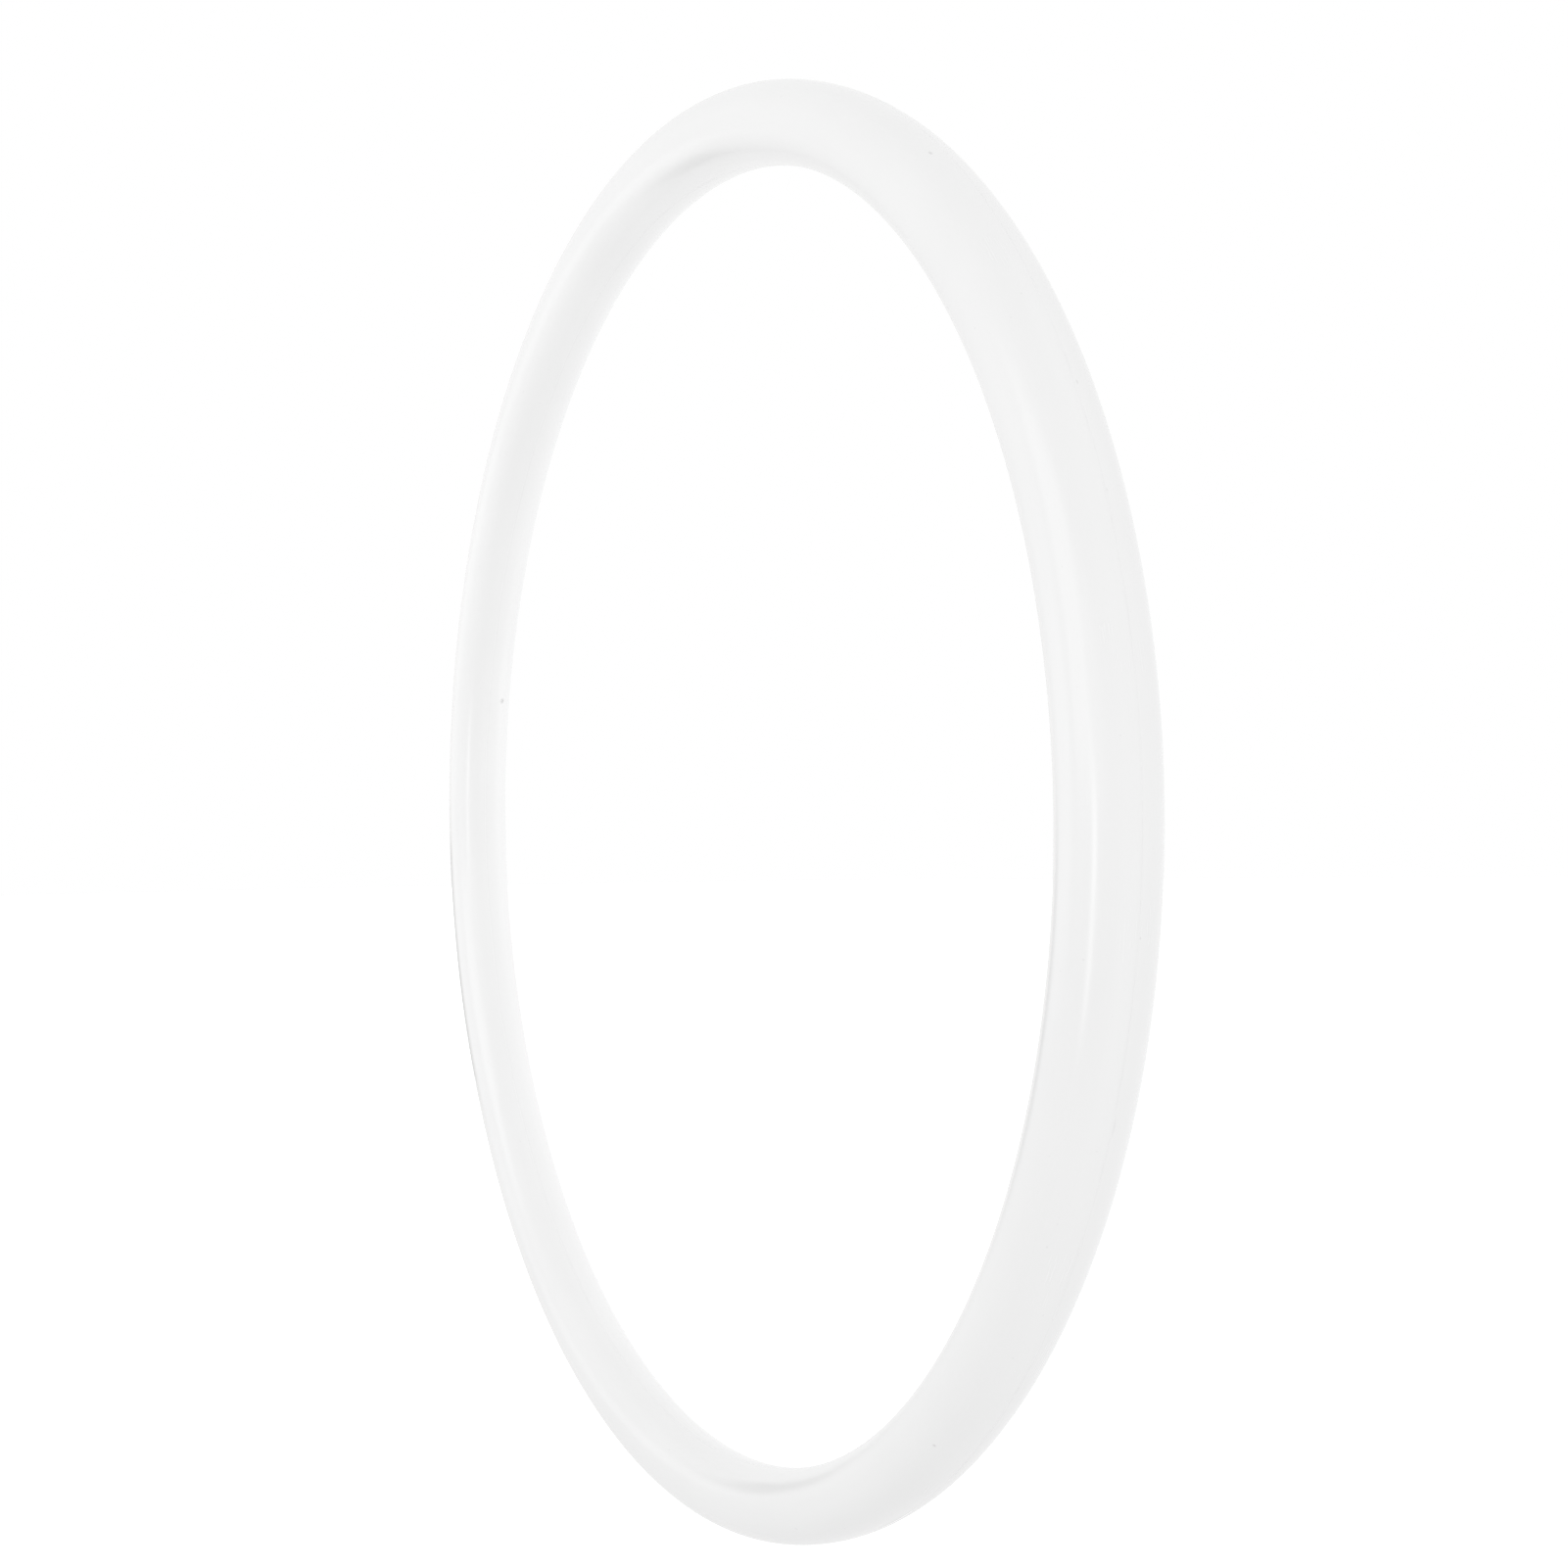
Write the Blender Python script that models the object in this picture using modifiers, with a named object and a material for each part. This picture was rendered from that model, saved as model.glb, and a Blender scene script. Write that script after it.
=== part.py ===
"""Rhythmic hoop: a hollow moulded ring made of two half shells that meet in the ring's own plane.

Metres, +Z up. The hoop stands upright, its centre is the origin and its axis is Y, as on a wheel.
Each shell is a channel turned about the axis. The back shell carries a tongue along both of its rims and a
pin on each of its posts. The front shell has the rebate that the tongue enters and a socket for each pin.
"""

import math

import bmesh
import bpy
from mathutils import Matrix, Vector

# Driving dimensions
OUTER_DIAMETER = 0.380
TUBE_DEPTH = 0.0186  # across the tube along the hoop's radius
TUBE_WIDTH = 0.0206  # across the tube along the hoop's axis
SIDE_LAND = 0.003  # flat band on each side, on which the hoop lies
WALL = 0.0018
FIT_GAP = 0.0003

# The joint along the two rims
TONGUE_THICKNESS = 0.0007
TONGUE_HEIGHT = 0.0012
REBATE_DEPTH = TONGUE_HEIGHT + 1.5 * FIT_GAP

# Locating pins and their sockets
STATIONS = 12
POST_RADIUS = 0.003
POST_TOP = 0.009
PIN_RADIUS = 0.0013
PIN_HEIGHT = 0.0048
PIN_ROOT = 0.001
SOCKET_RADIUS = PIN_RADIUS + FIT_GAP
SOCKET_DEPTH = PIN_HEIGHT + 0.0007

# Vent that lets air out of the hollow when the shells are joined
VENT_RADIUS = 0.0006
VENT_RING_ANGLE = math.radians(163.5)
VENT_TUBE_ANGLE = math.radians(147)

# Facets
RING_STEPS = 72
OUTER_ARC_STEPS = 5  # from a rim to the side land
INNER_ARC_STEPS = 3
ROUND_SIDES = 12

# Worked out
RING_RADIUS = (OUTER_DIAMETER - TUBE_DEPTH) / 2
RIM = FIT_GAP / 2
BORE_EDGE = TUBE_DEPTH / 2 - WALL
TONGUE_OUTSIDE = BORE_EDGE + TONGUE_THICKNESS
REBATE_OUTSIDE = TONGUE_OUTSIDE + FIT_GAP
AXIS_TO_Y = Matrix.Rotation(math.radians(90), 4, "X")  # the turning axis Z becomes -Y
WHITE = (0.86, 0.86, 0.86, 1)


def clear_scene():
    for obj in list(bpy.data.objects):
        bpy.data.objects.remove(obj)


def collection(name):
    made = bpy.data.collections.new(name)
    bpy.context.scene.collection.children.link(made)
    return made


def plastic():
    """Glossy white moulded plastic."""
    material = bpy.data.materials.new("white_plastic")
    material.use_nodes = True
    shader = material.node_tree.nodes["Principled BSDF"]
    shader.inputs["Base Color"].default_value = WHITE
    shader.inputs["Roughness"].default_value = 0.3
    shader.inputs["Metallic"].default_value = 0
    return material


def arc(wall, start_height, steps):
    """Oval line over the tube from +X to -X, wall inside its surface, with a flat land over its middle.

    Its ends stand start_height above the seam plane.
    """
    half_depth = TUBE_DEPTH / 2 - wall
    half_width = TUBE_WIDTH / 2 - wall
    land = math.acos(SIDE_LAND / 2 / half_depth)
    rise = half_width / math.sin(land)
    first = math.asin(start_height / rise)
    angles = [first + (land - first) * i / steps for i in range(steps + 1)]
    quarter = [(half_depth * math.cos(a), rise * math.sin(a)) for a in angles]
    return quarter + [(-x, z) for x, z in reversed(quarter)]


def front_profile():
    """Section of the front shell: the outer arc, then each rim with its rebate, and the inner arc."""
    ceiling = RIM + REBATE_DEPTH
    outside = arc(0, RIM, OUTER_ARC_STEPS)
    inside = arc(WALL, ceiling, INNER_ARC_STEPS)[::-1]
    far_rebate = [(-REBATE_OUTSIDE, RIM), (-REBATE_OUTSIDE, ceiling)]
    near_rebate = [(REBATE_OUTSIDE, ceiling), (REBATE_OUTSIDE, RIM)]
    return outside + far_rebate + inside + near_rebate


def back_profile():
    """Section of the back shell, drawn above the seam plane like the front one, with its tongues below it."""
    outside = arc(0, RIM, OUTER_ARC_STEPS)
    inside = arc(WALL, 0, INNER_ARC_STEPS)[::-1]
    far_tongue = [(-TONGUE_OUTSIDE, RIM), (-TONGUE_OUTSIDE, -TONGUE_HEIGHT), (-BORE_EDGE, -TONGUE_HEIGHT)]
    near_tongue = [(BORE_EDGE, -TONGUE_HEIGHT), (TONGUE_OUTSIDE, -TONGUE_HEIGHT), (TONGUE_OUTSIDE, RIM)]
    return outside + far_tongue + inside + near_tongue


def shell(name, profile, side, group):
    """Turns a closed section about the hoop's axis. side is 1 for the front shell and -1 for the back one."""
    points = [(RING_RADIUS + x, 0, side * z) for x, z in profile]
    # The outline runs down its outer side as seen from +X, so that the turned faces point out.
    if side > 0:
        points.reverse()
    edges = [(i, (i + 1) % len(points)) for i in range(len(points))]
    mesh = bpy.data.meshes.new(name)
    mesh.from_pydata(points, edges, [])
    obj = bpy.data.objects.new(name, mesh)
    group.objects.link(obj)
    obj.matrix_world = AXIS_TO_Y
    screw = obj.modifiers.new("turn", "SCREW")
    screw.axis = "Z"
    screw.steps = RING_STEPS
    screw.render_steps = RING_STEPS
    screw.use_merge_vertices = True
    screw.merge_threshold = 0.00001
    screw.use_smooth_shade = True
    return obj


def station_angles():
    """Stations are even round the ring and stay clear of the vent."""
    return [math.tau * i / STATIONS for i in range(STATIONS)]


def helper(name, mesh_data, group):
    """A mesh that only cuts or joins the shells."""
    mesh = bpy.data.meshes.new(name)
    mesh_data.to_mesh(mesh)
    mesh_data.free()
    obj = bpy.data.objects.new(name, mesh)
    group.objects.link(obj)
    obj.matrix_world = AXIS_TO_Y
    obj.hide_render = True
    obj.display_type = "WIRE"
    return obj


def rods(name, radius, low, high, group):
    """One round rod along the axis at every station, on the tube's centre line."""
    data = bmesh.new()
    for angle in station_angles():
        place = Vector((RING_RADIUS * math.cos(angle), RING_RADIUS * math.sin(angle), (low + high) / 2))
        bmesh.ops.create_cone(
            data,
            cap_ends=True,
            segments=ROUND_SIDES,
            radius1=radius,
            radius2=radius,
            depth=high - low,
            matrix=Matrix.Translation(place) @ Matrix.Rotation(angle, 4, "Z"),
        )
    return helper(name, data, group)


def vent_cutter(group):
    """A short rod square to the tube's wall, at the vent."""
    radial = Vector((math.cos(VENT_RING_ANGLE), math.sin(VENT_RING_ANGLE), 0))
    outward = radial * math.cos(VENT_TUBE_ANGLE) - Vector((0, 0, 1)) * math.sin(VENT_TUBE_ANGLE)
    place = radial * RING_RADIUS + outward * (TUBE_DEPTH / 2 - WALL / 2)
    data = bmesh.new()
    bmesh.ops.create_cone(
        data,
        cap_ends=True,
        segments=ROUND_SIDES,
        radius1=VENT_RADIUS,
        radius2=VENT_RADIUS,
        depth=3 * WALL,
        matrix=Matrix.Translation(place) @ outward.to_track_quat("Z", "Y").to_matrix().to_4x4(),
    )
    return helper("vent_cutter", data, group)


def combine(obj, other, operation):
    boolean = obj.modifiers.new(other.name, "BOOLEAN")
    boolean.operation = operation
    boolean.object = other


def front_shell(group, helpers, material):
    """The half on the -Y side, with a socket at every station."""
    obj = shell("front_shell", front_profile(), 1, group)
    obj.data.materials.append(material)
    combine(obj, rods("front_posts", POST_RADIUS, RIM, POST_TOP, helpers), "UNION")
    combine(obj, rods("sockets", SOCKET_RADIUS, -FIT_GAP, SOCKET_DEPTH, helpers), "DIFFERENCE")
    return obj


def back_shell(group, helpers, material):
    """The half on the +Y side, with a pin at every station and the vent on its inner side."""
    obj = shell("back_shell", back_profile(), -1, group)
    obj.data.materials.append(material)
    combine(obj, rods("back_posts", POST_RADIUS, -POST_TOP, -RIM, helpers), "UNION")
    combine(obj, rods("pins", PIN_RADIUS, -PIN_ROOT, PIN_HEIGHT, helpers), "UNION")
    combine(obj, vent_cutter(helpers), "DIFFERENCE")
    return obj


def main():
    clear_scene()
    hoop = collection("rhythmic_hoop")
    helpers = collection("cutters")
    material = plastic()
    front_shell(hoop, helpers, material)
    back_shell(hoop, helpers, material)


main()
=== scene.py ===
"""Looks of the rhythmic hoop: two glossy white half shells, closed on a fine seam, on a pale studio floor.

Metres, in the CAD model's frame: the hoop stands upright, its centre is the origin and its axis is Y.
A ring angle goes round the hoop from +X towards +Z. A tube angle goes round the tube's section, from 0 at
the outside of the hoop to 180 at its inside, and is positive on the +Y side and negative on the -Y side.
"""

import math
from collections import namedtuple

import bmesh
import bpy
from mathutils import Matrix, Vector

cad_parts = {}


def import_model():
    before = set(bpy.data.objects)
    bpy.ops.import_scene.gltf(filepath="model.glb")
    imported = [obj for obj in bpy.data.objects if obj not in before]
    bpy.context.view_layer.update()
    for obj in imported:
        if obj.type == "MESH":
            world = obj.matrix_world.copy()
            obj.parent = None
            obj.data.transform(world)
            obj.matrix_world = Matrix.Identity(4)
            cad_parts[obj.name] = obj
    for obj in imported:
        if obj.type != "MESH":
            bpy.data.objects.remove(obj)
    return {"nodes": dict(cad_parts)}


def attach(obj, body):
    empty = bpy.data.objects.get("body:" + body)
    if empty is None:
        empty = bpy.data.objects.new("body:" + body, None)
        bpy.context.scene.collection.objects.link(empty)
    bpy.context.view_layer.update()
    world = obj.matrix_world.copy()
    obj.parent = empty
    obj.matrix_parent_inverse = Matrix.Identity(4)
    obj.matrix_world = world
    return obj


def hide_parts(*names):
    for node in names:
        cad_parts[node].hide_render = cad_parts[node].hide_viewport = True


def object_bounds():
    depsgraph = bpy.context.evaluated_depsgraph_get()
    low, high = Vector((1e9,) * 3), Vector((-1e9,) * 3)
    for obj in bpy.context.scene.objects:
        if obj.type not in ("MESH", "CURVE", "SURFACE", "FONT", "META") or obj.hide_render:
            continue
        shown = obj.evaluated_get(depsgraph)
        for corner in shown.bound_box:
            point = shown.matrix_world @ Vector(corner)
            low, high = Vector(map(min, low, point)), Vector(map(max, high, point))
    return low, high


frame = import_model()
CAD_LOW, CAD_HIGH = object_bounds()


def hole_radius(node):
    """Radius of the hole in the hoop, from a CAD shell's vertices."""
    return min(math.hypot(v.co.x, v.co.z) for v in frame["nodes"][node].data.vertices)


# The hoop, from the frame
OUTER_RADIUS = CAD_HIGH.x
INNER_RADIUS = hole_radius("front_shell")
RING_RADIUS = (OUTER_RADIUS + INNER_RADIUS) / 2
HALF_DEPTH = (OUTER_RADIUS - INNER_RADIUS) / 2
HALF_WIDTH = CAD_HIGH.y
FLOOR_HEIGHT = CAD_LOW.z

# The skin and the seam
FULLNESS = 2.15  # 2 is an ellipse, and more is squarer
WAVINESS = 0.00003
SEAM_GAP = 0.000005  # between the two shells
LIP_WIDTH = 0.0003  # rounded edge along each rim
LIP_DEPTH = 0.00002
SEAM_WANDER = 0.00006  # how far the seam leaves its plane
NEAR_SEAM = 0.0012  # where that shift has died away
SMOOTH_ANGLE = math.radians(40)  # sharper edges stay sharp

# The joint inside, as in the CAD
WALL = 0.0018
FIT_GAP = 0.0003
BORE_EDGE = HALF_DEPTH - WALL
TONGUE_THICKNESS = 0.0007
TONGUE_OUTSIDE = BORE_EDGE + TONGUE_THICKNESS
TONGUE_HEIGHT = 0.0012
REBATE_OUTSIDE = TONGUE_OUTSIDE + FIT_GAP
REBATE_DEPTH = TONGUE_HEIGHT + 1.5 * FIT_GAP
STATIONS = 12
POST_RADIUS = 0.003
POST_TOP = 0.009
PIN_RADIUS = 0.0013
PIN_HEIGHT = 0.0048
PIN_ROOT = 0.001
SOCKET_RADIUS = PIN_RADIUS + FIT_GAP
SOCKET_END_GAP = 0.0007  # past the pin's end
SOCKET_DEPTH = PIN_HEIGHT + SOCKET_END_GAP
VENT_RADIUS = 0.0006
VENT_PIT = 0.00008  # down to the drop of plastic that closes the vent

# Mesh fineness
RING_STEPS = 432
SKIN_STEPS = 64
BORE_STEPS = 14
DENT_STEPS = 12
DENT_REACH = 1.3  # where a dent's closer steps end, in half sizes of the dent
DENT_CLEARANCE = 1.5  # where the even steps start again
ROUND_SIDES = 32

# Marks in the skin: ring and tube angles in degrees, length along the ring, width and depth in metres, and
# the share of its light that the mark loses
Mark = namedtuple("Mark", "ring tube length width depth grey")
VENT = Mark(163.5, 150.6, 0.0030, 0.0030, 0.00018, 0.12)
DENTS = [
    VENT,
    Mark(47, -21, 0.0019, 0.0010, 0.00012, 0.16),
    Mark(316, -53, 0.0011, 0.0010, 0.00010, 0.16),
]
SPECKS = [
    Mark(31, -43, 0.0006, 0.0005, 0, 0.06),
    Mark(26, 3, 0.0014, 0.0007, 0, 0.10),
    Mark(19, 2, 0.0009, 0.0006, 0, 0.07),
    Mark(354, 2, 0.0008, 0.0006, 0, 0.10),
    Mark(343, 2, 0.0050, 0.0007, 0, 0.06),
    Mark(335, -38, 0.0008, 0.0006, 0, 0.07),
    Mark(330, -14, 0.0008, 0.0005, 0, 0.06),
    Mark(125, -129, 0.0014, 0.0009, 0, 0.04),
    Mark(155, 179, 0.0013, 0.0009, 0, 0.04),
]

# Noise: most of its values lie in the first of these spans. In each other one, a feature of the plastic goes
# from its least to its most.
NOISE_SPAN = (0.3, 0.7)
CLOUD_SPAN = (0.35, 0.65)
SEAM_SPAN = (0.4, 0.65)
SCUFF_PATCH_SPAN = (0.48, 0.62)
SCUFF_LINE_SPAN = (0.5, 0.62)
DUST_SPAN = (0.86, 0.90)

# The plastic: other pairs are the least and the most, and a loss is a share of the light
PLASTIC_WHITE = (0.722, 0.731)
CLOUD_SIZE = 0.045
ROUGHNESS = (0.2, 0.25)
ROUGHNESS_PATCH = 0.02
FLOW_LENGTH, FLOW_WIDTH = 0.05, 0.003  # flow lines from the mould
FLOW_WHITE = 0.002
FLOW_ROUGHNESS = 0.015
FLOW_HEIGHT = 0.00002
FLOW_STRENGTH = 0.2
SEAM_HALF_LINE = (0.00008, 0.0003)  # from where the seam's line starts to fade to where it ends
SEAM_PATCH = 0.012
SEAM_FAINTEST = 0.2
# Painted shade in the seam groove, as a share of the light
SEAM_PAINTED_SHADE = 0.03
SEAM_ROUGHNESS = 0.15
SCUFF_BAND = (0.0035, 0.0008)  # in from the outside, from where scuffs start to where they are full
SCUFF_PATCH = 0.03
SCUFF_LENGTH, SCUFF_WIDTH = 0.006, 0.00025
SCUFF_LOSS = 0.004
SCUFF_ROUGHNESS = 0.05
SCUFF_STRENGTH = 0.08
DUST_SIZE = 0.0011
DUST_LOSS = 0.06
MARK_CORE = 0.3  # the full dark middle of a mark, as a share of its half size
PEEL_SIZE = 0.0016  # the fine unevenness of a moulded skin
PEEL_STRENGTH = 0.15
FINE_HEIGHT = 0.00001  # of that unevenness and of the scuffs

# The studio
WHITE = (1, 1, 1, 1)
FLOOR_WHITE = (0.93, 0.95)
FLOOR_MOTTLE = 0.3
FLOOR_GLOW = 0.3
FLOOR_RADIUS = 6
FLOOR_SIDES = 96
CARD_GREY = (0.18, 0.22)
CARD_MOTTLE = 0.05
CARD_SIZE = (0.28, 0.18)
CARD_PLACE = (-80, -7, 0.75)  # azimuth, elevation and distance
DULL = 0.9  # roughness of the floor and the card

# Area lights, with brightness compared with the world's, which is 1. Fills only light the plastic evenly, and
# panels only show as reflections in its gloss.
Softbox = namedtuple("Softbox", "name azimuth elevation distance width height brightness")
FILLS = [
    Softbox("fill_right", 50, 15, 0.7, 0.35, 0.35, 1.5),
    Softbox("fill_left", -20, 15, 0.45, 0.25, 0.25, 2.0),
    Softbox("fill_behind", 178, -12, 0.45, 0.25, 0.25, 3.1),
    Softbox("fill_low", 105, -20, 0.7, 0.35, 0.35, 0.9),
    Softbox("fill_high", 130, 50, 0.7, 0.35, 0.35, 0.8),
]
PANELS = [
    Softbox("window", 12, 22, 1.5, 1.1, 0.95, 0.9),
    Softbox("strip", 37, -7, 1.5, 0.24, 0.7, 3.0),
    Softbox("side_window", -45, 2, 1.5, 1.1, 0.5, 0.4),
]

# The camera, with angles in degrees
CAMERA_AZIMUTH = 64.54  # round the hoop from its front, -Y, towards +X
CAMERA_DISTANCE = 2.599 * RING_RADIUS
CAMERA_TURN = -3.26  # aimed a little to the right of the hoop's centre
CAMERA_TILT = -3.68  # down, while the frame is shifted up
CAMERA_ROLL = -0.68
CAMERA_LENS = 38.59
CAMERA_SHIFT = 0.1  # the photograph's frame stands off the lens axis


# Shape --------------------------------------------------------------------------------------------------

def wave(angle, *terms):
    """Sum of sines round the ring, from (turns, phase, share) terms. It closes on itself."""
    return sum(share * math.sin(turns * angle + phase) for turns, phase, share in terms)


def seam_shift(angle):
    """How far the seam leaves its plane, along Y."""
    return SEAM_WANDER * wave(angle, (5, 0.3, 0.5), (13, 1.9, 0.3), (31, 4.0, 0.2))


def lip_share(angle):
    """How open the seam is, from 0.2 to 1.2."""
    return 0.7 + wave(angle, (3, 2.2, 0.2), (8, 0.7, 0.18), (21, 3.1, 0.12))


def dent_depth(angle, tube_angle):
    """Depth of the dents at a place on the skin."""
    depth = 0
    for dent in DENTS:
        along = (angle - math.radians(dent.ring)) * RING_RADIUS / (dent.length / 2)
        across = (tube_angle - math.radians(dent.tube)) * HALF_DEPTH / (dent.width / 2)
        depth += dent.depth * max(0, 1 - along**2 - across**2) ** 2
    return depth


def skin_inset(angle, tube_angle):
    """Dents and long shallow waves of the moulded skin, never outside the CAD surface."""
    along = wave(angle, (7, 0.4, 0.4), (17, 2.6, 0.2), (29, 5.1, 0.1))
    across = 0.3 * math.cos(2 * tube_angle + 3 * angle)
    return WAVINESS * (1 + along + across) + dent_depth(angle, tube_angle)


def oval(tube_angle, inset):
    """Point of the tube's section, inset from its surface: distance out along the radius, and along Y."""
    cosine, sine = math.cos(tube_angle), math.sin(tube_angle)
    power = 2 / FULLNESS
    out = (HALF_DEPTH - inset) * math.copysign(abs(cosine) ** power, cosine)
    return out, (HALF_WIDTH - inset) * math.copysign(abs(sine) ** power, sine)


def closer(values, places):
    """Puts closer steps across each place, given as its middle and its half width."""
    for middle, half in places:
        values = [value for value in values if abs(value - middle) > DENT_CLEARANCE * half]
        values += [middle + DENT_REACH * half * (2 * i / DENT_STEPS - 1) for i in range(DENT_STEPS + 1)]
    return sorted(values)


def ring_angles():
    """Steps round the ring, half a step away from the rods' middles, and closer across the dents."""
    even = [math.tau * (i + 0.5) / RING_STEPS for i in range(RING_STEPS)]
    return closer(even, [(math.radians(dent.ring), dent.length / 2 / RING_RADIUS) for dent in DENTS])


def skin_angles(side):
    """Tube angles over one shell's skin, closest at the seam and across that side's dents."""
    even = [math.pi / 2 * (1 - math.cos(math.pi * i / SKIN_STEPS)) for i in range(SKIN_STEPS + 1)]
    dents = [dent for dent in DENTS if dent.tube * side > 0]
    return closer(even, [(math.radians(dent.tube * side), dent.width / 2 / HALF_DEPTH) for dent in dents])


def skin_line(angle, side, tube_angles):
    """The skin's part of a shell's section, from the hoop's outside round to its inside."""
    points = []
    for tube_angle in tube_angles:
        out, across = oval(tube_angle, skin_inset(angle, side * tube_angle))
        lip = LIP_DEPTH * lip_share(angle) * max(0, 1 - across / LIP_WIDTH) ** 2
        points.append((out - math.copysign(lip, out), max(across, SEAM_GAP / 2)))
    return points


def bore_line(start):
    """The hollow's part of a shell's section, from the hoop's inside to its outside, start above the seam."""
    height = HALF_WIDTH - WALL
    first = math.asin((start / height) ** (FULLNESS / 2))
    steps = [first + (math.pi - 2 * first) * i / BORE_STEPS for i in range(BORE_STEPS + 1)]
    return [oval(math.pi - step, WALL) for step in steps]


def tongue_line(sign):
    """Rim of the back shell: its tongue reaches across the seam. sign is -1 at the hoop's inside."""
    line = [(TONGUE_OUTSIDE, SEAM_GAP / 2), (TONGUE_OUTSIDE, -TONGUE_HEIGHT), (BORE_EDGE, -TONGUE_HEIGHT)]
    return [(sign * out, y) for out, y in line]


def rebate_line(sign):
    """Rim of the front shell: the rebate that the tongue enters."""
    return [(sign * REBATE_OUTSIDE, SEAM_GAP / 2), (sign * REBATE_OUTSIDE, REBATE_DEPTH)]


def section(angle, side, tube_angles):
    """Closed section of one shell at a ring angle. side is 1 on the +Y side and -1 on the -Y side."""
    rim_line = tongue_line if side > 0 else rebate_line
    bore_start = 0 if side > 0 else REBATE_DEPTH
    points = skin_line(angle, side, tube_angles) + rim_line(-1) + bore_line(bore_start) + rim_line(1)[::-1]
    shift = seam_shift(angle)
    return [(out, side * y + shift * max(0, 1 - abs(y) / NEAR_SEAM)) for out, y in points]


def ring_point(angle, out, y):
    """Place at a ring angle, out from the tube's middle line and along Y."""
    radius = RING_RADIUS + out
    return Vector((radius * math.cos(angle), y, radius * math.sin(angle)))


def add_object(name, data):
    """Makes an object from a bmesh."""
    mesh = bpy.data.meshes.new(name)
    data.to_mesh(mesh)
    data.free()
    made = bpy.data.objects.new(name, mesh)
    bpy.context.scene.collection.objects.link(made)
    return made


def shell(name, side):
    """One half of the hoop: its section swept once round the ring, with the shape varying a little."""
    data = bmesh.new()
    tube_angles = skin_angles(side)
    loops = []
    for angle in ring_angles():
        points = section(angle, side, tube_angles)
        loops.append([data.verts.new(ring_point(angle, *point)) for point in points])
    for loop, following in zip(loops, loops[1:] + loops[:1]):
        for j in range(len(loop)):
            k = (j + 1) % len(loop)
            data.faces.new((loop[j], following[j], following[k], loop[k]))
    bmesh.ops.recalc_face_normals(data, faces=data.faces)
    return add_object(name, data)


def rod(data, radius, length, matrix):
    """Adds a closed round rod to a bmesh."""
    bmesh.ops.create_cone(data, cap_ends=True, segments=ROUND_SIDES, radius1=radius, radius2=radius,
                          depth=length, matrix=matrix)


def rods(name, radius, low, high):
    """One round rod at every station, on the tube's middle line, between two heights along Y."""
    data = bmesh.new()
    for i in range(STATIONS):
        place = ring_point(math.tau * i / STATIONS, 0, (low + high) / 2)
        along_axis = Matrix.Rotation(math.radians(90), 4, "X")
        rod(data, radius, abs(high - low), Matrix.Translation(place) @ along_axis)
    return add_object(name, data)


def vent_rod():
    """The open end of the vent, above the drop of plastic that closes it."""
    angle, tube_angle = math.radians(VENT.ring), math.radians(VENT.tube)
    low = ring_point(angle, *oval(tube_angle, VENT.depth + VENT_PIT))
    outward = (low - ring_point(angle, 0, 0)).normalized()
    turn = outward.to_track_quat("Z", "Y").to_matrix().to_4x4()
    data = bmesh.new()
    rod(data, VENT_RADIUS, WALL, Matrix.Translation(low + outward * WALL / 2) @ turn)
    return add_object("vent_rod", data)


def combine(piece, other, operation):
    """Joins another object to a piece, or cuts it out of it, and removes that object."""
    modifier = piece.modifiers.new(other.name, "BOOLEAN")
    modifier.operation = operation
    modifier.object = other
    bpy.context.view_layer.update()
    evaluated = piece.evaluated_get(bpy.context.evaluated_depsgraph_get())
    piece.data = bpy.data.meshes.new_from_object(evaluated)
    piece.modifiers.clear()
    bpy.data.objects.remove(other)


def front_shell():
    """The -Y half, with a post and a socket at every station."""
    piece = shell("front_shell_skin", -1)
    combine(piece, rods("posts", POST_RADIUS, -FIT_GAP / 2, -POST_TOP), "UNION")
    combine(piece, rods("sockets", SOCKET_RADIUS, FIT_GAP, -SOCKET_DEPTH), "DIFFERENCE")
    return piece


def back_shell():
    """The +Y half, with a post and a pin at every station, and the vent."""
    piece = shell("back_shell_skin", 1)
    combine(piece, rods("posts", POST_RADIUS, FIT_GAP / 2, POST_TOP), "UNION")
    combine(piece, rods("pins", PIN_RADIUS, PIN_ROOT, -PIN_HEIGHT), "UNION")
    combine(piece, vent_rod(), "DIFFERENCE")
    return piece


# Materials ----------------------------------------------------------------------------------------------

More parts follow.
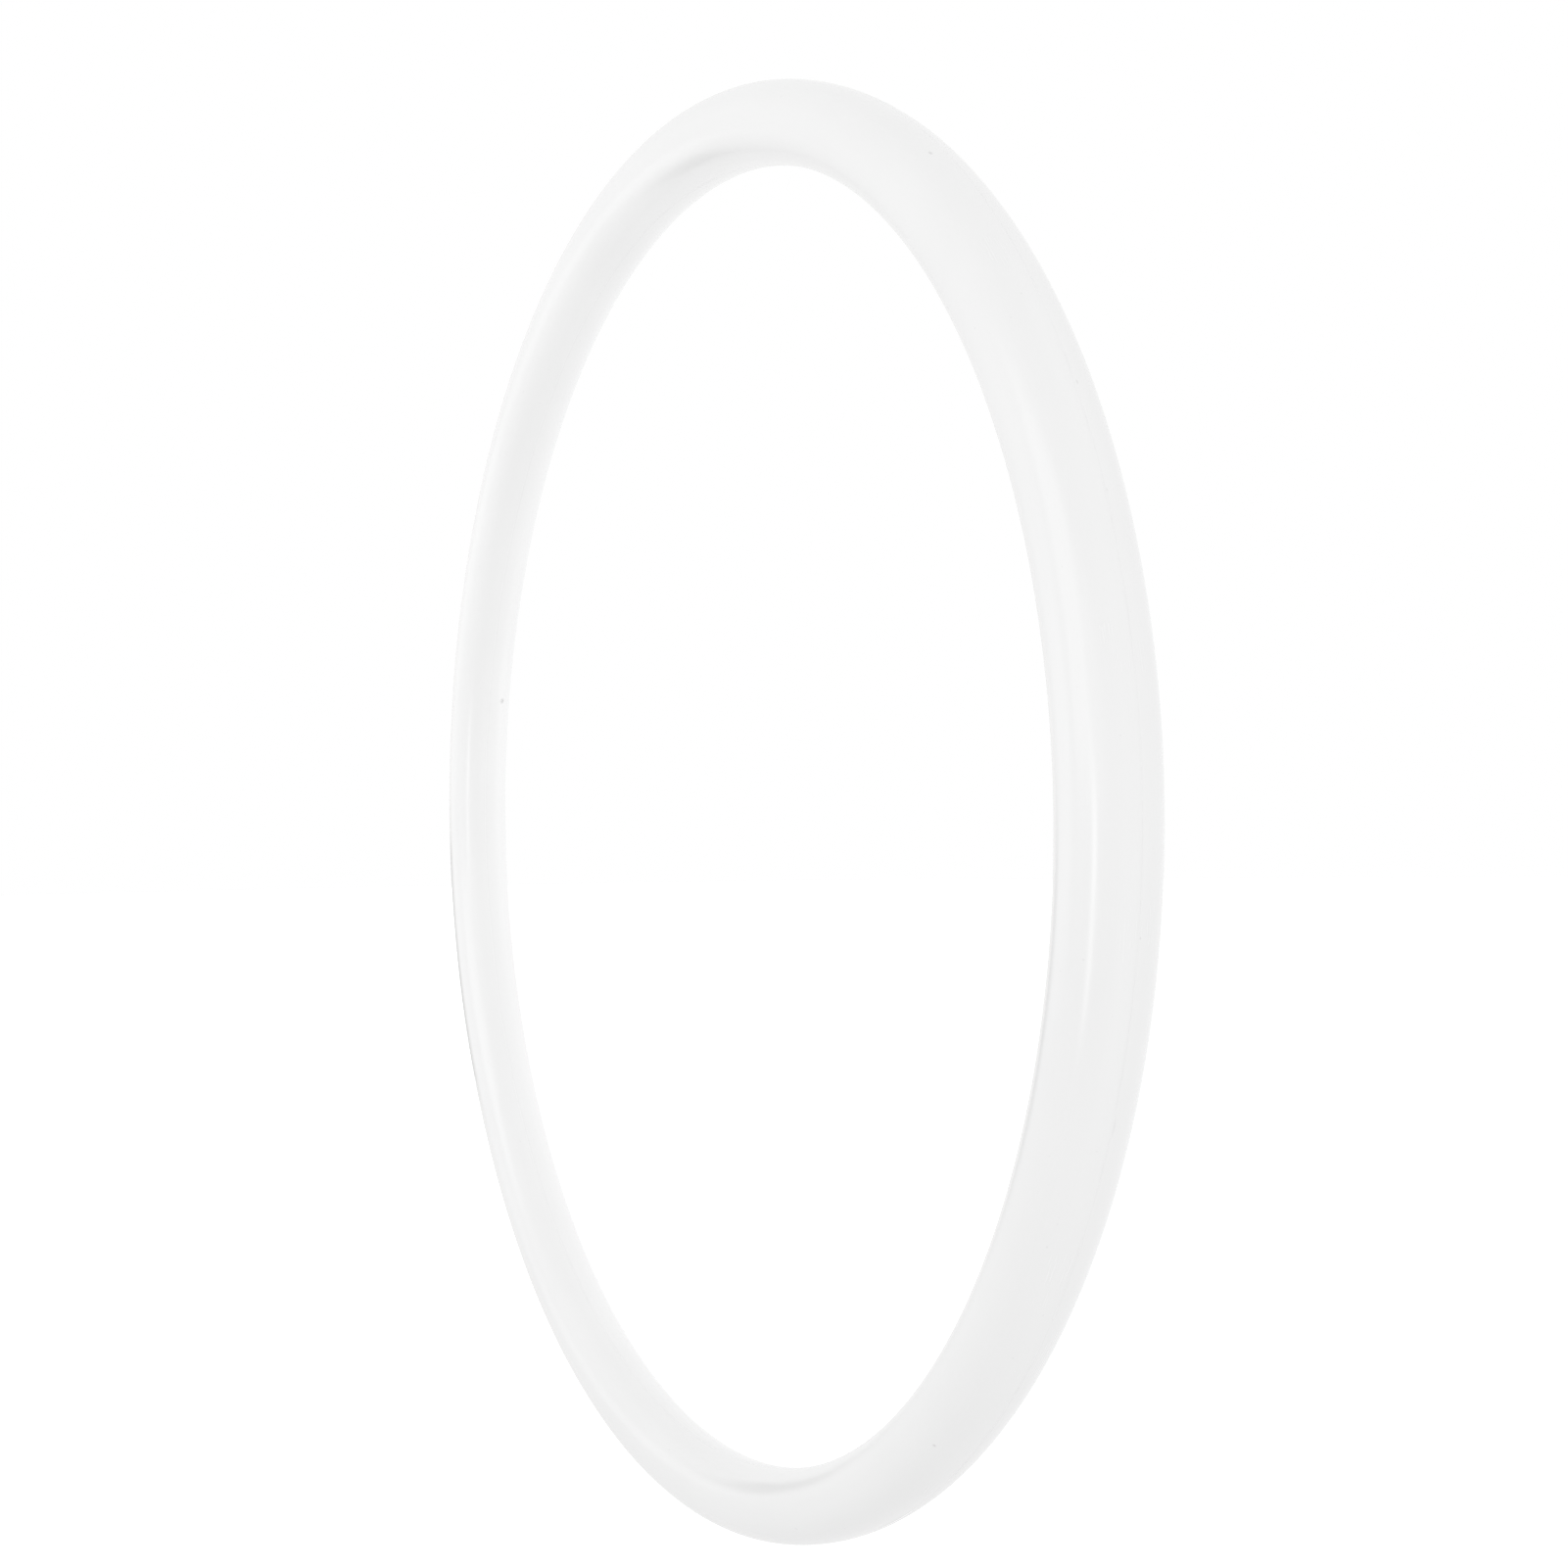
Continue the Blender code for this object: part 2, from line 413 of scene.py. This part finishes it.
class Nodes:
    """Short calls for building a material's nodes."""

    def __init__(self, name):
        self.material = bpy.data.materials.new(name)
        self.material.use_nodes = True
        self.tree = self.material.node_tree
        self.shader = self.tree.nodes["Principled BSDF"]
        self.place = self.add("ShaderNodeTexCoord").outputs["Object"]

    def add(self, kind, settings=None, inputs=None):
        """A node, with its settings, and values or links for its inputs."""
        node = self.tree.nodes.new(kind)
        for key, value in (settings or {}).items():
            setattr(node, key, value)
        for key, value in (inputs or {}).items():
            self.set(node.inputs[key], value)
        return node

    def set(self, socket, value):
        """Links an output to a socket, or sets a plain value on it."""
        if isinstance(value, bpy.types.NodeSocket):
            self.tree.links.new(value, socket)
        else:
            socket.default_value = value

    def finish(self, name, value):
        """Sets one of the shader's inputs."""
        self.set(self.shader.inputs[name], value)

    def math(self, operation, *values):
        """The result of a sum or other operation on values or outputs."""
        node = self.add("ShaderNodeMath", {"operation": operation})
        for socket, value in zip(node.inputs, values):
            self.set(socket, value)
        return node.outputs[0]

    def noise(self, size, detail=2.0):
        """Noise in space, with features of about that size in metres."""
        inputs = {"Vector": self.place, "Scale": 1 / size, "Detail": detail}
        return self.add("ShaderNodeTexNoise", inputs=inputs).outputs["Fac"]

    def spread(self, value, low, high, to_low=0.0, to_high=1.0, kind="LINEAR"):
        """A value moved from one range to another, and held inside it."""
        inputs = {"Value": value, "From Min": low, "From Max": high, "To Min": to_low, "To Max": to_high}
        return self.add("ShaderNodeMapRange", {"interpolation_type": kind}, inputs).outputs["Result"]

    def grey(self, value):
        """A colour with that value for red, green and blue."""
        node = self.add("ShaderNodeCombineColor", inputs={"Red": value, "Green": value, "Blue": value})
        return node.outputs["Color"]

    def mottle(self, size, darkest, lightest):
        """A grey that varies softly between two values."""
        return self.grey(self.spread(self.noise(size), *NOISE_SPAN, darkest, lightest))

    def relief(self, value, strength, height, over=None, sunk=False):
        """Surface directions of a fine relief, over those of another relief."""
        inputs = {"Height": value, "Strength": strength, "Distance": height}
        if over:
            inputs["Normal"] = over
        return self.add("ShaderNodeBump", {"invert": sunk}, inputs).outputs["Normal"]


def ring_axes(nodes):
    """Distance from the hoop's axis, direction round the ring as a cosine and a sine, and place along Y."""
    axes = nodes.add("ShaderNodeSeparateXYZ", inputs={"Vector": nodes.place}).outputs
    squares = [nodes.math("POWER", axes[name], 2) for name in "XZ"]
    radius = nodes.math("SQRT", nodes.math("ADD", *squares))
    return radius, nodes.math("DIVIDE", axes["X"], radius), nodes.math("DIVIDE", axes["Z"], radius), axes["Y"]


def streaks(nodes, length, width, detail=2.0):
    """Noise drawn out along the ring, without a join."""
    radius, cosine, sine, across = ring_axes(nodes)
    around = RING_RADIUS / length
    inputs = {
        "X": nodes.math("MULTIPLY", cosine, around),
        "Y": nodes.math("MULTIPLY", sine, around),
        "Z": nodes.math("MULTIPLY", radius, 1 / width),
    }
    vector = nodes.add("ShaderNodeCombineXYZ", inputs=inputs).outputs["Vector"]
    along_axis = nodes.math("MULTIPLY", across, 1 / width)
    inputs = {"Vector": vector, "W": along_axis, "Scale": 1.0, "Detail": detail}
    return nodes.add("ShaderNodeTexNoise", {"noise_dimensions": "4D"}, inputs).outputs["Fac"]


def mark_mask(nodes, mark):
    """The light that a mark loses: all of its grey in the middle, and nothing outside it."""
    angle = math.radians(mark.ring)
    inputs = {
        "Vector": nodes.place,
        "Location": ring_point(angle, *oval(math.radians(mark.tube), mark.depth)),
        "Rotation": (0, -math.pi / 2 - angle, 0),
        "Scale": (mark.length / 2, mark.width / 2, mark.width / 2),
    }
    local = nodes.add("ShaderNodeMapping", {"vector_type": "TEXTURE"}, inputs).outputs["Vector"]
    away = nodes.add("ShaderNodeVectorMath", {"operation": "LENGTH"}, {0: local}).outputs["Value"]
    return nodes.spread(away, MARK_CORE, 1.0, mark.grey, 0.0, "SMOOTHSTEP")


def seam_mask(nodes):
    """1 on the seam and 0 beside it, broken up along the ring. It places the painted shade in the seam groove
    and the seam's duller gloss.
    """
    across = nodes.math("ABSOLUTE", ring_axes(nodes)[3])
    line = nodes.spread(across, *SEAM_HALF_LINE, 1.0, 0.0, "SMOOTHSTEP")
    patches = nodes.spread(nodes.noise(SEAM_PATCH, 3), *SEAM_SPAN, SEAM_FAINTEST, 1.0)
    return nodes.math("MULTIPLY", line, patches)


def scuff_mask(nodes):
    """Scuffs on the outer rim, where the hoop runs on the ground: patches of short fine lines."""
    start, full = SCUFF_BAND
    band = nodes.spread(ring_axes(nodes)[0], OUTER_RADIUS - start, OUTER_RADIUS - full)
    patches = nodes.spread(nodes.noise(SCUFF_PATCH, 2), *SCUFF_PATCH_SPAN)
    lines = nodes.spread(streaks(nodes, SCUFF_LENGTH, SCUFF_WIDTH, 3), *SCUFF_LINE_SPAN)
    return nodes.math("MULTIPLY", nodes.math("MULTIPLY", band, patches), lines)


def plastic_white(nodes, flow, seam, scuffs):
    """Faintly cloudy white, less painted shade along the seam groove and the light that is lost on scuffs,
    marks and dust.
    """
    white = nodes.spread(nodes.noise(CLOUD_SIZE, 3), *CLOUD_SPAN, *PLASTIC_WHITE)
    white = nodes.math("ADD", white, nodes.spread(flow, *NOISE_SPAN, -FLOW_WHITE, FLOW_WHITE))
    # Painted shade along the seam groove
    lost = nodes.math("MULTIPLY", seam, SEAM_PAINTED_SHADE)
    lost = nodes.math("ADD", lost, nodes.math("MULTIPLY", scuffs, SCUFF_LOSS))
    for mark in DENTS + SPECKS:
        lost = nodes.math("ADD", lost, mark_mask(nodes, mark))
    dust = nodes.spread(nodes.noise(DUST_SIZE, 0), *DUST_SPAN, 0.0, DUST_LOSS)
    lost = nodes.math("ADD", lost, dust)
    return nodes.grey(nodes.math("MULTIPLY", white, nodes.math("SUBTRACT", 1.0, lost)))


def plastic_roughness(nodes, flow, seam, scuffs):
    """Glossy in uneven patches, and duller on the seam and the scuffs."""
    rough = nodes.spread(nodes.noise(ROUGHNESS_PATCH, 4), *NOISE_SPAN, *ROUGHNESS)
    rough = nodes.math("ADD", rough, nodes.spread(flow, *NOISE_SPAN, -FLOW_ROUGHNESS, FLOW_ROUGHNESS))
    rough = nodes.math("ADD", rough, nodes.math("MULTIPLY", scuffs, SCUFF_ROUGHNESS))
    return nodes.math("ADD", rough, nodes.math("MULTIPLY", seam, SEAM_ROUGHNESS))


def white_plastic():
    """Glossy moulded plastic with flow lines along the ring, rim scuffs and dark marks."""
    nodes = Nodes("white_plastic")
    flow = streaks(nodes, FLOW_LENGTH, FLOW_WIDTH)
    seam = seam_mask(nodes)
    scuffs = scuff_mask(nodes)
    peel = nodes.relief(nodes.noise(PEEL_SIZE), PEEL_STRENGTH, FINE_HEIGHT)
    lines = nodes.relief(flow, FLOW_STRENGTH, FLOW_HEIGHT, over=peel)
    nodes.finish("Base Color", plastic_white(nodes, flow, seam, scuffs))
    nodes.finish("Roughness", plastic_roughness(nodes, flow, seam, scuffs))
    nodes.finish("Normal", nodes.relief(scuffs, SCUFF_STRENGTH, FINE_HEIGHT, over=lines, sunk=True))
    return nodes.material


def stage_white():
    """Pale floor with a very faint unevenness."""
    nodes = Nodes("stage_white")
    nodes.finish("Base Color", nodes.mottle(FLOOR_MOTTLE, *FLOOR_WHITE))
    nodes.finish("Roughness", DULL)
    nodes.finish("Emission Color", WHITE)
    nodes.finish("Emission Strength", FLOOR_GLOW)
    return nodes.material


def card_grey():
    """Dull grey card with a faint mottle."""
    nodes = Nodes("card_grey")
    nodes.finish("Base Color", nodes.mottle(CARD_MOTTLE, *CARD_GREY))
    nodes.finish("Roughness", DULL)
    return nodes.material


# Stage, light and camera --------------------------------------------------------------------------------

def direction_from(azimuth, elevation):
    """Unit vector from the hoop's centre, from angles in degrees like the camera's."""
    azimuth, elevation = math.radians(azimuth), math.radians(elevation)
    level = math.cos(elevation)
    return Vector((math.sin(azimuth) * level, -math.cos(azimuth) * level, math.sin(elevation)))


def face_hoop(made, azimuth, elevation, distance):
    """Stands an object off from the hoop's centre, and turns it to face that."""
    back = direction_from(azimuth, elevation)
    made.location = back * distance
    made.rotation_euler = back.to_track_quat("Z", "Y").to_euler()
    made.visible_camera = False


def floor():
    """A large disc under the hoop. Light passes through it to the hoop, as on a light table."""
    data = bmesh.new()
    bmesh.ops.create_circle(data, cap_ends=True, segments=FLOOR_SIDES, radius=FLOOR_RADIUS)
    made = add_object("floor", data)
    made.location.z = FLOOR_HEIGHT
    made.visible_diffuse = False
    made.visible_glossy = False
    made.visible_shadow = False
    made.data.materials.append(stage_white())


def softbox(box, shine):
    """Area light that faces the hoop: a panel with shine, and a fill without."""
    light = bpy.data.lights.new(box.name, "AREA")
    light.shape = "RECTANGLE"
    light.size, light.size_y = box.width, box.height
    light.energy = box.brightness * math.pi * light.size * light.size_y
    made = bpy.data.objects.new(box.name, light)
    bpy.context.scene.collection.objects.link(made)
    face_hoop(made, box.azimuth, box.elevation, box.distance)
    made.visible_diffuse = not shine
    made.visible_glossy = shine


def lights():
    """All the fills and panels."""
    for box in FILLS:
        softbox(box, False)
    for box in PANELS:
        softbox(box, True)


def card():
    """Dark card that faces the hoop, and only shows as a dim reflection in the gloss."""
    data = bmesh.new()
    bmesh.ops.create_grid(data, x_segments=1, y_segments=1, size=0.5)
    bmesh.ops.scale(data, vec=(*CARD_SIZE, 1), verts=data.verts)
    made = add_object("card_left", data)
    face_hoop(made, *CARD_PLACE)
    made.visible_diffuse = False
    made.visible_shadow = False
    made.data.materials.append(card_grey())


def world():
    """Even white surroundings."""
    made = bpy.data.worlds.new("studio")
    made.use_nodes = True
    background = made.node_tree.nodes["Background"]
    background.inputs["Color"].default_value = WHITE
    background.inputs["Strength"].default_value = 1
    bpy.context.scene.world = made


def camera():
    """Camera at the photograph's viewing angle."""
    data = bpy.data.cameras.new("camera")
    data.lens = CAMERA_LENS
    data.shift_y = CAMERA_SHIFT
    made = bpy.data.objects.new("camera", data)
    bpy.context.scene.collection.objects.link(made)
    turn = Matrix.Rotation(math.radians(CAMERA_AZIMUTH + CAMERA_TURN), 4, "Z")
    tilt = Matrix.Rotation(math.radians(90 + CAMERA_TILT), 4, "X")
    roll = Matrix.Rotation(math.radians(CAMERA_ROLL), 4, "Z")
    place = direction_from(CAMERA_AZIMUTH, 0) * CAMERA_DISTANCE
    made.matrix_world = Matrix.Translation(place) @ turn @ tilt @ roll
    bpy.context.scene.camera = made


def main():
    plastic = white_plastic()
    for node, piece in (("front_shell", front_shell()), ("back_shell", back_shell())):
        piece.data.materials.clear()
        piece.data.materials.append(plastic)
        piece.data.shade_smooth()
        piece.data.set_sharp_from_angle(angle=SMOOTH_ANGLE)
        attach(piece, "root")
        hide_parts(node)
    floor()
    world()
    camera()
    lights()
    card()
    bpy.context.scene.view_settings.view_transform = "Standard"


main()
